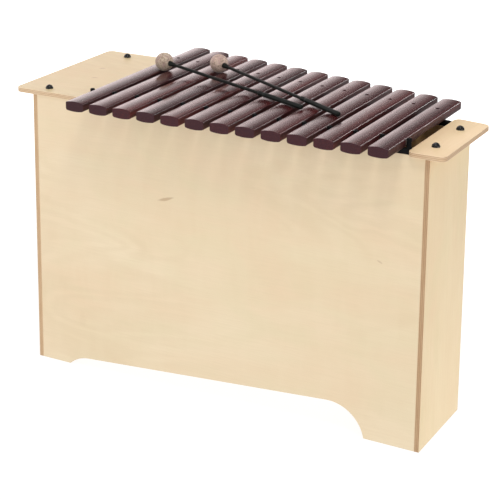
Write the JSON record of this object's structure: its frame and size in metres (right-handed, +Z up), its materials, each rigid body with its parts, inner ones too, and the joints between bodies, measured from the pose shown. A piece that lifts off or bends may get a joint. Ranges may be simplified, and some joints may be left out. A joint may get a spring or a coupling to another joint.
{
  "type": "bass xylophone",
  "caption": "Bass xylophone with rosewood bars on pins over a tall tapered plywood resonator box, with two wound mallets lying on the bars.",
  "frame": {"origin": "bottom centre of the whole object's bounding box, on the floor", "axes": "+X along the box from the bass end to the treble end, +Y from the front board to the slanting back board, +Z up"},
  "size_m": [0.868, 0.465, 0.5979],
  "materials": {
    "birch_plywood": "clear satin lacquer over rotary-cut birch veneer, plywood layers on the edges",
    "softwood": "planed, unfinished",
    "rosewood": "semi-gloss oiled and polished, dark purple-brown",
    "rail_rubber": "matte black",
    "sleeve_rubber": "matte black",
    "steel_pin": "plain bright steel",
    "black_screw": "black oxide, semi-gloss",
    "mallet_wool": "tightly wound wool yarn, beige and pinkish grey",
    "mallet_core": "hard rubber",
    "mallet_shaft": "black glass-fibre rod, satin",
    "mallet_grip": "black rubber sleeve"
  },
  "bodies": {
    "resonator": {"front_panel": "birch_plywood", "back_panel": "birch_plywood", "left_end_panel": "birch_plywood", "right_end_panel": "birch_plywood", "bottom_board": "birch_plywood", "divider_1": "birch_plywood", "divider_2": "birch_plywood", "divider_3": "birch_plywood", "left_cap_board": "birch_plywood", "right_cap_board": "birch_plywood", "corner_cleats": "softwood", "left_cap_cleat": "softwood", "front_rail_strip": "rail_rubber", "back_rail_strip": "rail_rubber", "front_pin_sleeves": "sleeve_rubber", "back_pin_sleeves": "sleeve_rubber", "front_pins": "steel_pin", "back_pins": "steel_pin", "cap_screws": "black_screw"},
    "bar_01": {"bar_01": "rosewood"},
    "bar_02": {"bar_02": "rosewood"},
    "bar_03": {"bar_03": "rosewood"},
    "bar_04": {"bar_04": "rosewood"},
    "bar_05": {"bar_05": "rosewood"},
    "bar_06": {"bar_06": "rosewood"},
    "bar_07": {"bar_07": "rosewood"},
    "bar_08": {"bar_08": "rosewood"},
    "bar_09": {"bar_09": "rosewood"},
    "bar_10": {"bar_10": "rosewood"},
    "bar_11": {"bar_11": "rosewood"},
    "bar_12": {"bar_12": "rosewood"},
    "bar_13": {"bar_13": "rosewood"},
    "mallet_1": {"mallet_1_winding": "mallet_wool", "mallet_1_core": "mallet_core", "mallet_1_collar": "mallet_shaft", "mallet_1_shaft": "mallet_shaft", "mallet_1_grip": "mallet_grip"},
    "mallet_2": {"mallet_2_winding": "mallet_wool", "mallet_2_core": "mallet_core", "mallet_2_collar": "mallet_shaft", "mallet_2_shaft": "mallet_shaft", "mallet_2_grip": "mallet_grip"}
  },
  "joints": [
    {"name": "bar_01_lift", "type": "slide", "parent": "resonator", "child": "bar_01", "axis": [0, 0, 1], "range_m": [0, 0.06]},
    {"name": "bar_02_lift", "type": "slide", "parent": "resonator", "child": "bar_02", "axis": [0, 0, 1], "range_m": [0, 0.06]},
    {"name": "bar_03_lift", "type": "slide", "parent": "resonator", "child": "bar_03", "axis": [0, 0, 1], "range_m": [0, 0.06]},
    {"name": "bar_04_lift", "type": "slide", "parent": "resonator", "child": "bar_04", "axis": [0, 0, 1], "range_m": [0, 0.06]},
    {"name": "bar_05_lift", "type": "slide", "parent": "resonator", "child": "bar_05", "axis": [0, 0, 1], "range_m": [0, 0.06]},
    {"name": "bar_06_lift", "type": "slide", "parent": "resonator", "child": "bar_06", "axis": [0, 0, 1], "range_m": [0, 0.06]},
    {"name": "bar_07_lift", "type": "slide", "parent": "resonator", "child": "bar_07", "axis": [0, 0, 1], "range_m": [0, 0.06]},
    {"name": "bar_08_lift", "type": "slide", "parent": "resonator", "child": "bar_08", "axis": [0, 0, 1], "range_m": [0, 0.06]},
    {"name": "bar_09_lift", "type": "slide", "parent": "resonator", "child": "bar_09", "axis": [0, 0, 1], "range_m": [0, 0.06]},
    {"name": "bar_10_lift", "type": "slide", "parent": "resonator", "child": "bar_10", "axis": [0, 0, 1], "range_m": [0, 0.06]},
    {"name": "bar_11_lift", "type": "slide", "parent": "resonator", "child": "bar_11", "axis": [0, 0, 1], "range_m": [0, 0.06]},
    {"name": "bar_12_lift", "type": "slide", "parent": "resonator", "child": "bar_12", "axis": [0, 0, 1], "range_m": [0, 0.06]},
    {"name": "bar_13_lift", "type": "slide", "parent": "resonator", "child": "bar_13", "axis": [0, 0, 1], "range_m": [0, 0.06]},
    {"name": "mallet_1_lift", "type": "slide", "parent": "bar_02", "child": "mallet_1", "axis": [0, 0, 1], "range_m": [0, 0.15]},
    {"name": "mallet_2_lift", "type": "slide", "parent": "bar_04", "child": "mallet_2", "axis": [0, 0, 1], "range_m": [0, 0.15]}
  ],
  "couplings": [
    {"joint": "bar_02_lift", "follows": "bar_01_lift", "ratio": 1},
    {"joint": "bar_03_lift", "follows": "bar_01_lift", "ratio": 1},
    {"joint": "bar_04_lift", "follows": "bar_01_lift", "ratio": 1},
    {"joint": "bar_05_lift", "follows": "bar_01_lift", "ratio": 1},
    {"joint": "bar_06_lift", "follows": "bar_01_lift", "ratio": 1},
    {"joint": "bar_07_lift", "follows": "bar_01_lift", "ratio": 1},
    {"joint": "bar_08_lift", "follows": "bar_01_lift", "ratio": 1},
    {"joint": "bar_09_lift", "follows": "bar_01_lift", "ratio": 1},
    {"joint": "bar_10_lift", "follows": "bar_01_lift", "ratio": 1}
  ]
}
